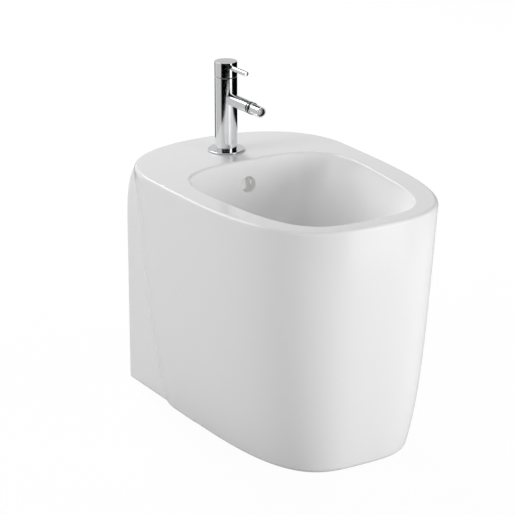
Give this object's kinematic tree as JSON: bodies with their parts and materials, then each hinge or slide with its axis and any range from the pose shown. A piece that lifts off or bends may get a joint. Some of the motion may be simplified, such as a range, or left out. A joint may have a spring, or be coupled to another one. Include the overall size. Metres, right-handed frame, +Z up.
{
  "type": "floor standing bidet",
  "caption": "Floor standing bidet: tapered glazed bowl with a rear tap deck and overflow, lever mixer with a swivelling nozzle, lifting plug waste, bottle trap and floor brackets.",
  "frame": {"origin": "on the floor, midway between the wall face and the front of the rim, on the middle plane", "axes": "+Z up, +Y towards the wall, -Y towards the user, +X to the user's left hand side as the user sits facing the wall's taps"},
  "size_m": [0.368, 0.533, 0.5475],
  "materials": {
    "glaze": "gloss white glaze",
    "chrome": "polished plating",
    "brass": "turned, unplated",
    "stainless": "turned stainless steel",
    "zinc_steel": "bright zinc plated sheet",
    "technical_ceramic": "lapped",
    "white_plastic": "moulded, satin",
    "grey_plastic": "moulded, satin",
    "grey_rubber": "matt",
    "black_rubber": "matt"
  },
  "bodies": {
    "root": {"ceramic_rim": "glaze", "ceramic_basin": "glaze", "ceramic_overflow": "glaze", "ceramic_skirt": "glaze", "tap_shank": "chrome", "tap_column": "chrome", "spout": "chrome", "base_ring": "chrome", "cover_flange": "chrome", "flange_gasket": "grey_rubber", "cartridge_seal": "black_rubber", "cartridge_base": "white_plastic", "fixed_disc": "technical_ceramic", "cartridge_housing": "grey_plastic", "cartridge_nut": "brass", "ball_stem": "brass", "mounting_stud": "stainless", "clamp_gasket": "black_rubber", "clamp_plate": "stainless", "clamp_nut": "brass", "waste_gasket": "grey_rubber", "waste_flange": "chrome", "plug_guide": "white_plastic", "waste_cone_gasket": "grey_rubber", "waste_washer": "white_plastic", "waste_nut": "brass", "waste_tail": "chrome", "trap_inlet_nut": "chrome", "trap_inlet_washer": "black_rubber", "trap_body": "chrome", "trap_cup": "chrome", "trap_cup_seal": "black_rubber", "trap_outlet_nut": "chrome", "trap_outlet_washer": "black_rubber", "outlet_pipe": "chrome", "floor_bracket_left": "zinc_steel", "floor_bracket_right": "zinc_steel", "bracket_plugs": "white_plastic", "bracket_washers": "stainless", "bracket_screws": "stainless"},
    "cartridge": {"cartridge_carrier": "white_plastic", "moving_disc": "technical_ceramic"},
    "handle": {"lever_stem": "brass", "handle_cap": "chrome", "lever_pin": "chrome", "handle_screw": "stainless"},
    "nozzle_seat": {"swivel_seat": "white_plastic"},
    "nozzle": {"swivel_collar": "chrome", "nozzle": "chrome", "aerator_seal": "black_rubber", "aerator": "white_plastic"},
    "plug": {"waste_plug": "chrome", "plug_seal": "black_rubber", "plug_stem": "brass"}
  },
  "joints": [
    {"name": "handle_turn", "type": "hinge", "parent": "root", "child": "cartridge", "pos_m": [0, 0.175, 0.505], "axis": [0, 0, 1], "range_deg": [-45, 45]},
    {"name": "handle_lift", "type": "hinge", "parent": "cartridge", "child": "handle", "pos_m": [0, 0.175, 0.505], "axis": [-1, 0, 0], "range_deg": [0, 22]},
    {"name": "nozzle_yaw", "type": "hinge", "parent": "root", "child": "nozzle_seat", "pos_m": [0, 0.09, 0.4883], "axis": [0, 0, 1], "range_deg": [-12, 12]},
    {"name": "nozzle_pitch", "type": "hinge", "parent": "nozzle_seat", "child": "nozzle", "pos_m": [0, 0.09, 0.4883], "axis": [1, 0, 0], "range_deg": [-12, 12]},
    {"name": "plug_slide", "type": "slide", "parent": "root", "child": "plug", "axis": [0, 0, 1], "range_m": [0, 0.007]}
  ]
}
